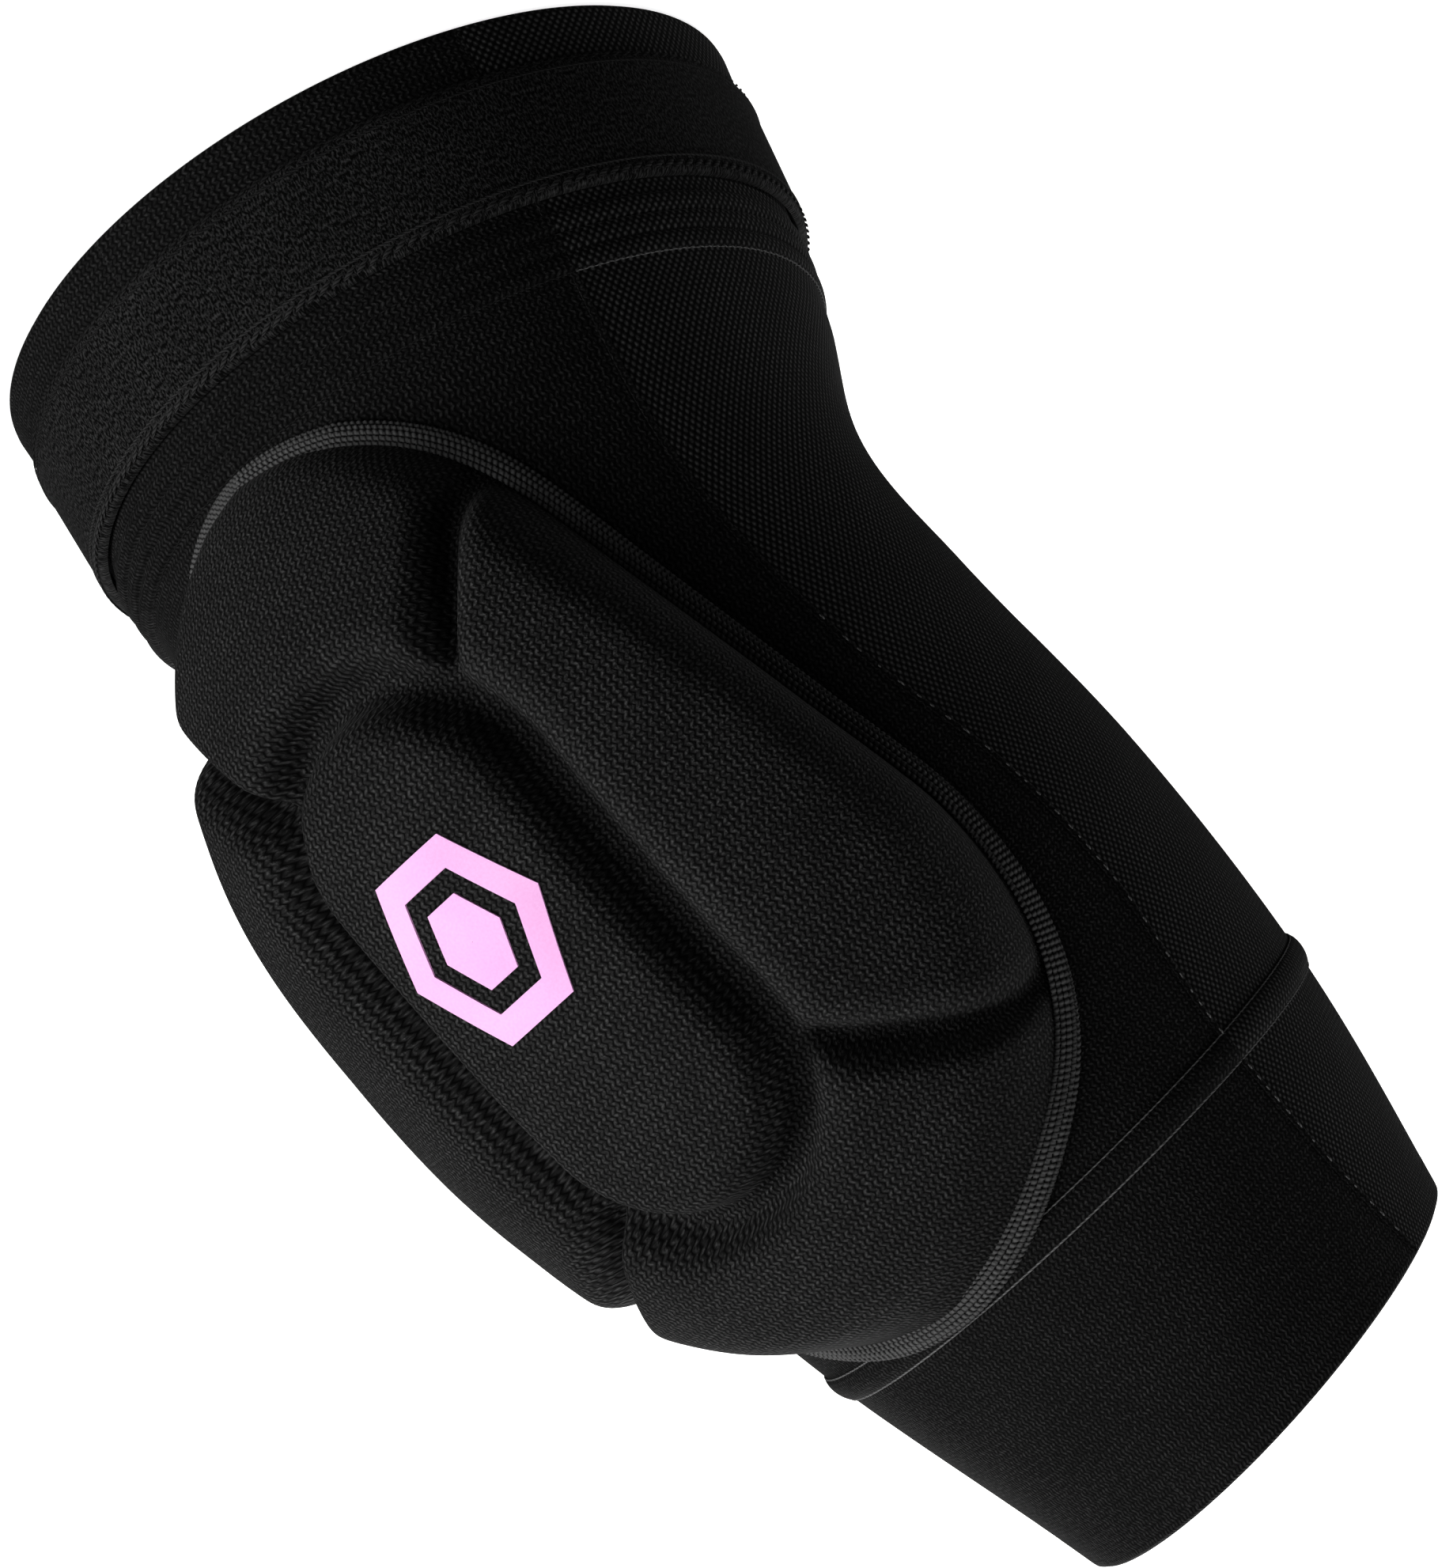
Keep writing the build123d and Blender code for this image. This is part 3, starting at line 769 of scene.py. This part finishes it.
def pad_height(s, across, around):
    """Height of the pad over the cloth."""
    full = envelope(s, across)
    flat = pad_flat(on_sleeve(s, around, full))
    ends = [pad_flat(on_sleeve(end, 0.0, through(CROWN, end))) for end in DOME_ENDS]
    inset = np.array([0, DOME_HALF])
    to_dome = to_segment(flat, ends[0] + inset, ends[1] - inset) - DOME_HALF
    channel = shoulder(np.abs(to_dome - CHANNEL_HALF), 2.0, 5.0)
    groove = np.zeros_like(full)
    for start, end in GROOVES:
        for side in (-1, 1):
            line = []
            for place, degrees in (start, end):
                angle = side * math.radians(degrees)
                line.append(pad_flat(on_sleeve(place, angle, 0.8 * through(CROWN, place))))
            groove = np.maximum(groove, shoulder(to_segment(flat, *line), 1.2, 4.2))
    return full * (1 - CHANNEL_DEPTH * channel) * (1 - GROOVE_DEPTH * groove * (1 - channel))


# %% The pad's skin
PAD_ROWS = 260
PAD_COLUMNS = 181
# The jersey's weave is measured at this radius and this height over the cloth, near the crown
CROWN_RADIUS = 60.0
CROWN_RISE = 18.0
SMOOTHING = 3


def smoothed(height, rounds):
    """Each height drawn towards its neighbours', as taut cloth lies; the edge stays."""
    for _ in range(rounds):
        inner = height[1:-1, 1:-1]
        beside = height[:-2, 1:-1] + height[2:, 1:-1] + height[1:-1, :-2] + height[1:-1, 2:]
        height = height.copy()
        height[1:-1, 1:-1] = 0.4 * inner + 0.15 * beside
    return height


rows = (1 - np.cos(np.linspace(0, math.pi, PAD_ROWS))) / 2
pad_s = (outline_s[0] + (outline_s[-1] - outline_s[0]) * rows)[:, None]
# Columns crowd towards the sides, where the wall is steep, and rows towards the ends
turn_share = np.linspace(-1, 1, PAD_COLUMNS)[None, :]
across = np.sin(turn_share * math.pi / 2) * 0.35 + turn_share * 0.65
pad_around = np.interp(pad_s, outline_s, outline_angle) * across
pad_rise = smoothed(pad_height(pad_s + 0 * across, across + 0 * pad_s, pad_around), SMOOTHING)
lift = np.gradient(centre(pad_s[:, 0], through(GIRTHS, pad_s[:, 0]) + CROWN_RISE), axis=1)
crown_length = np.cumsum(np.hypot(*lift))[:, None]
pad_weave = np.stack(np.broadcast_arrays(pad_around * CROWN_RADIUS, crown_length), -1)
pad_face = on_sleeve(pad_s, pad_around, pad_rise)
pad_back = on_sleeve(pad_s, pad_around, 0.15)
pad = make_piece("moulded_pad", skin(pad_face, pad_back, pad_weave), [pad_jersey_painted_lighter], weld=0.01, sharp=80)
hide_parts(*(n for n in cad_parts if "foam" in n or "pad_base" in n or n.endswith("_cover")))
bend_over_elbow(pad)
print("pad stands", round(float(pad_rise.max()), 1), "mm over the sleeve")

# %% [markdown]
# ## Piping
# A braided piping, 4 mm wide, covers the raw edge of the pad. Its braid is five rows of tight small loops
# that climb from the sleeve onto the pad's edge, laid over a core that fills the corner under them.
# Each row, and the core, is a cord whose thickness swells at every loop.

# %% Piping
LOOP_PITCH = 0.85
STEPS_PER_LOOP = 6
# Each row, and the core under them: (distance outside the outline, height over the cloth, radius)
BRAID_ROWS = ((1.35, 0.55, 0.5), (0.7, 1.25, 0.46), (-0.05, 1.75, 0.44), (-0.85, 2.0, 0.42), (-1.6, 2.1, 0.4))
CORE = (-0.3, 0.85, 1.15)

loop_s = np.concatenate([outline_s, outline_s[-2:0:-1]])
loop_angle = np.concatenate([outline_angle, -outline_angle[-2:0:-1]])
edge = on_sleeve(loop_s, loop_angle, 0.0)
ends = np.concatenate([edge, edge[:1]])
length = np.concatenate([[0], np.cumsum(np.linalg.norm(np.diff(ends, axis=0), axis=1))])
loops = round(length[-1] / LOOP_PITCH)
steps = loops * STEPS_PER_LOOP
even = np.arange(steps) / steps * length[-1]
even_s = np.interp(even, length, np.append(loop_s, loop_s[0]))
even_angle = np.interp(even, length, np.append(loop_angle, loop_angle[0]))
edge = on_sleeve(even_s, even_angle, 0.0)
out = outward_on(even_s, even_angle)
half = STEPS_PER_LOOP // 2
along = np.roll(edge, -half, 0) - np.roll(edge, half, 0)
along /= np.linalg.norm(along, axis=1, keepdims=True)
away = np.cross(along, out)
away *= np.sign(np.sum(away * (edge - edge.mean(0)), 1).sum())
swell = 0.66 + 0.36 * np.abs(np.sin(math.pi * even / length[-1] * loops)) ** 0.6
braid = []
for distance, rise, radius in (CORE, *BRAID_ROWS):
    path = edge + distance * away + rise * out
    braid.append(thread(path, out, radius * swell, 6))
piping = make_piece("braided_piping", braid, [piping_braid], weld=0.001, sharp=90)
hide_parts("upper_piping", "forearm_piping")
bend_over_elbow(piping)
print("piping is", round(length[-1]), "mm long, with", loops, "loops")

# %% [markdown]
# ## Emblem
# The dome carries a screen-printed mark. This one is a plain six-sided ring of our own, with no
# lettering. It is a thin layer of ink that follows the dome, so its points are found by walking over the
# pad's skin.

# %% Emblem
EMBLEM_MIDDLE = 88.0
EMBLEM_SIZE = (21.0, 30.0)
# What the ring's hole, and then the middle, lose of that width and height
RING_HOLE = (7, 9)
CORE_MARGIN = (12, 16)
INK = 0.3
INK_FOOT = -0.2
# The dome's own height over the cloth here, and the radius that its print is bent to
DOME_RISE = 19.0
DOME_RADIUS = 63.0


def on_dome(x, y, lift=0.0):
    """Points on the dome, x across and y along from the emblem's middle."""
    stretch = 1 + (through(GIRTHS, EMBLEM_MIDDLE) + DOME_RISE) / BEND_RADIUS
    s = EMBLEM_MIDDLE + y / stretch
    around = x / DOME_RADIUS
    share = around / np.interp(s, outline_s, outline_angle)
    return on_sleeve(s, around, pad_height(s, share, around) + lift)


def inked(outer, inner, turns):
    """Patches of a flat shape between two closed lines, given as (x, y) functions of the turn."""
    t = np.linspace(0, 1, 7)[:, None]
    (x0, y0), (x1, y1) = inner(turns), outer(turns)
    x = x0 + (x1 - x0) * t
    y = y0 + (y1 - y0) * t
    weave = np.stack([x, y], -1)
    return skin(on_dome(x, y, INK), on_dome(x, y, INK_FOOT), weave, ring=True)


def hexagon(width, height):
    """A six-sided outline with its points along the sleeve, as a function of the turn."""
    def line(turns):
        corner = np.mod(turns, math.pi / 3) - math.pi / 6
        reach = math.cos(math.pi / 6) / np.cos(corner)
        x = reach * np.cos(turns) / math.cos(math.pi / 6)
        return width / 2 * x, height / 2 * reach * np.sin(turns)
    return line


turns = np.linspace(0, full_turn, 121)[None, :] + math.pi / 6
wide, tall = EMBLEM_SIZE
hole = hexagon(wide - RING_HOLE[0], tall - RING_HOLE[1])
core = hexagon(wide - CORE_MARGIN[0], tall - CORE_MARGIN[1])
point = hexagon(0.1, 0.1)
parts = inked(hexagon(wide, tall), hole, turns) + inked(core, point, turns)
emblem = make_piece("printed_emblem", parts, [rubber_print], weld=0.002, sharp=60)
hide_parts("dome_emblem")
bend_over_elbow(emblem)

# %% [markdown]
# ## Studio
# The pad stands on its wide rim on a white shooting table that is lit through from below, as is usual for
# a clean white ground. A large soft box stands on the pad's side, and weaker ones in front, over it and
# behind, so the black knit gets its form from light that grazes it. The table glows for the camera only,
# or it would grey the black.

# %% Shooting table
def lit_table():
    """White acrylic, matt, with a glow of its own."""
    material = bpy.data.materials.new("white_acrylic_sheet_lit_through")
    material.use_nodes = True
    surface = material.node_tree.nodes["Principled BSDF"]
    surface.inputs["Base Color"].default_value = linear("#F4F4F2")
    surface.inputs["Roughness"].default_value = 0.9
    surface.inputs["Specular IOR Level"].default_value = 0.1
    surface.inputs["Emission Color"].default_value = (1, 1, 1, 1)
    surface.inputs["Emission Strength"].default_value = 0.85
    return material


side = np.linspace(-3000, 3000, 3)
x, y = np.meshgrid(side, side, indexing="ij")
table = make_piece("shooting_table", [patch(np.stack([x, y, 0 * x - 0.05], -1))], [lit_table()])
table.visible_diffuse = False
table.visible_glossy = False

# %% Lights
BOX_SIDE = 0.7
LIT_PLACE = (0, 0.02, 0.09)
# The room's own light on the pad, and how white the room looks to the camera
ROOM_LIGHT = 0.04
ROOM_SEEN = 1.0


def soft_box(name, place, watts):
    """A square area light at place, in metres, aimed at the pad."""
    lamp = bpy.data.lights.new(name, "AREA")
    lamp.shape = "RECTANGLE"
    lamp.size = BOX_SIDE
    lamp.size_y = BOX_SIDE
    lamp.energy = watts
    holder = bpy.data.objects.new(name, lamp)
    holder.location = place
    holder.rotation_mode = "QUATERNION"
    holder.rotation_quaternion = (Vector(LIT_PLACE) - Vector(place)).to_track_quat("-Z", "Y")
    bpy.context.scene.collection.objects.link(holder)
    print(name, "gives", watts, "W")


soft_box("pad_side_box", (0.68, -0.95, 0.26), 13)
soft_box("crook_side_box", (-0.44, 1.10, 0.26), 5)
soft_box("front_box", (0.05, -1.17, 0.26), 5)
soft_box("back_box", (0.67, 0.98, 0.55), 12)
soft_box("top_box", (0, -0.085, 1.28), 6)

world = bpy.data.worlds.new("studio")
bpy.context.scene.world = world
world.use_nodes = True
seen = add_node(world.node_tree, "ShaderNodeLightPath").outputs["Is Camera Ray"]
glow = add_node(world.node_tree, "ShaderNodeMapRange", {0: seen, 3: ROOM_LIGHT, 4: ROOM_SEEN})
world.node_tree.links.new(glow.outputs[0], world.node_tree.nodes["Background"].inputs["Strength"])
world.node_tree.nodes["Background"].inputs["Color"].default_value = (1, 1, 1, 1)
bpy.context.scene.view_settings.view_transform = "Standard"

# %% [markdown]
# ## Camera
# A long lens from the pad's side, looking down a little. The camera is rolled, because the pad is shown
# lying across the picture with its wide rim at the top left.

# %% Camera
CAMERA_PLACE = (-0.5870, -0.8309, 0.4659)
CAMERA_RIGHT = (-0.6243, 0.6378, 0.4511)
CAMERA_UP = (-0.5678, 0.0262, -0.8227)
LENS = 190.8

right = Vector(CAMERA_RIGHT).normalized()
up = (Vector(CAMERA_UP) - Vector(CAMERA_UP).dot(right) * right).normalized()
camera = bpy.data.objects.new("camera", bpy.data.cameras.new("camera"))
camera.data.lens = LENS
camera.data.clip_start, camera.data.clip_end = 0.05, 30
turned = Matrix((right, up, right.cross(up))).transposed().to_4x4()
camera.matrix_world = Matrix.Translation(CAMERA_PLACE) @ turned
bpy.context.scene.collection.objects.link(camera)
bpy.context.scene.camera = camera
print("camera stands", round(camera.location.length, 2), "m from the origin, lens", LENS, "mm")
